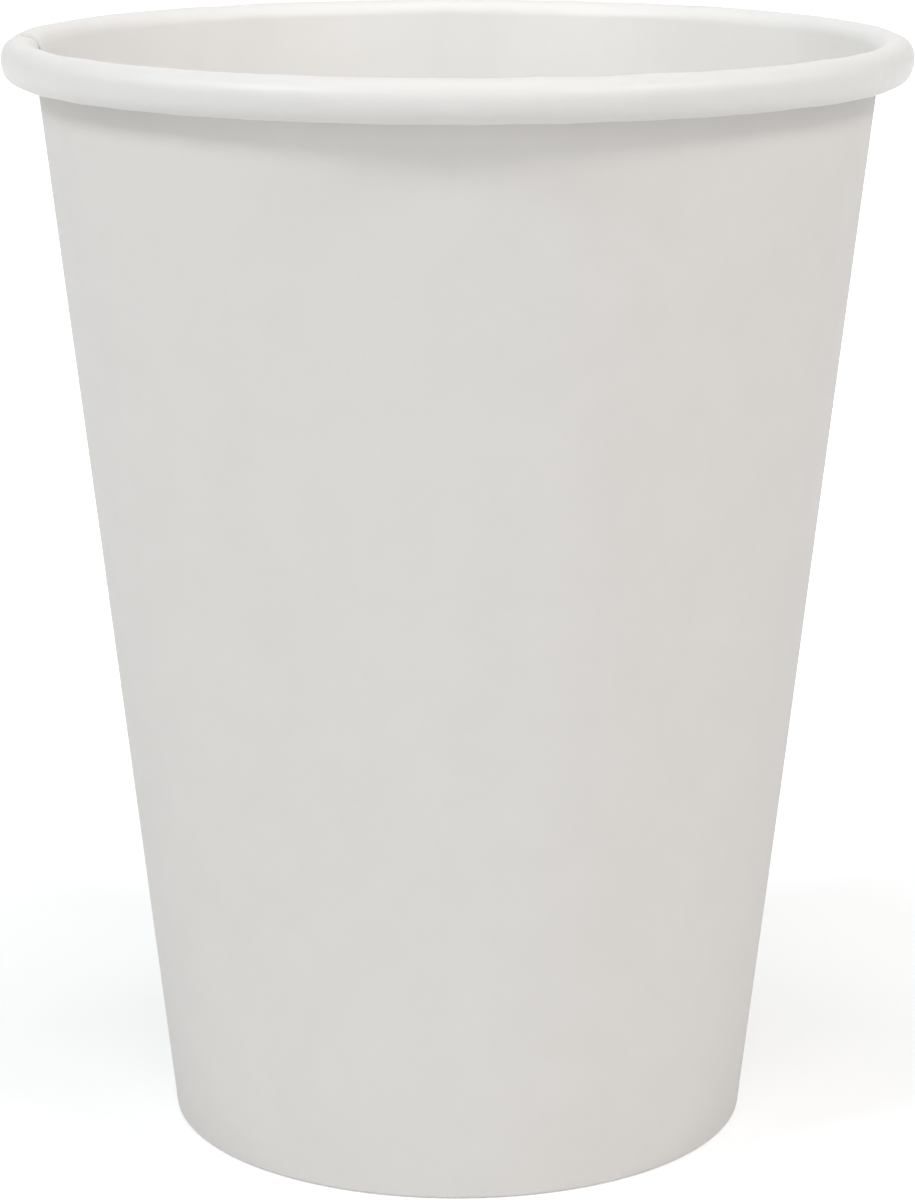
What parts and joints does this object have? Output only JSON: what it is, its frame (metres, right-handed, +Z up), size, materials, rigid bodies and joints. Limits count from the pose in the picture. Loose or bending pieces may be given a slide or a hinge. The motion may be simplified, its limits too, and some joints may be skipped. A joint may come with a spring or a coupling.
{
  "type": "paper cup",
  "caption": "Plain white single-wall paper cup for hot drinks, with a rolled rim bead, a lapped side seam and a recessed base held in a folded hem.",
  "frame": {"origin": "centre of the circle that the cup stands on", "axes": "+Z up along the cup's axis, out of its mouth; -Y towards the front; the lap seam is at the left, 167 to 176.5 degrees counter-clockwise from +X"},
  "size_m": [0.0899, 0.09, 0.111],
  "materials": {
    "cup_board": "matte white board outside, smooth polyethylene coating on the drink side and the bead's skin",
    "base_board": "white board, smooth polyethylene coating on the drink side"
  },
  "bodies": {
    "root": {"sidewall": "cup_board", "base": "base_board"}
  },
  "joints": []
}
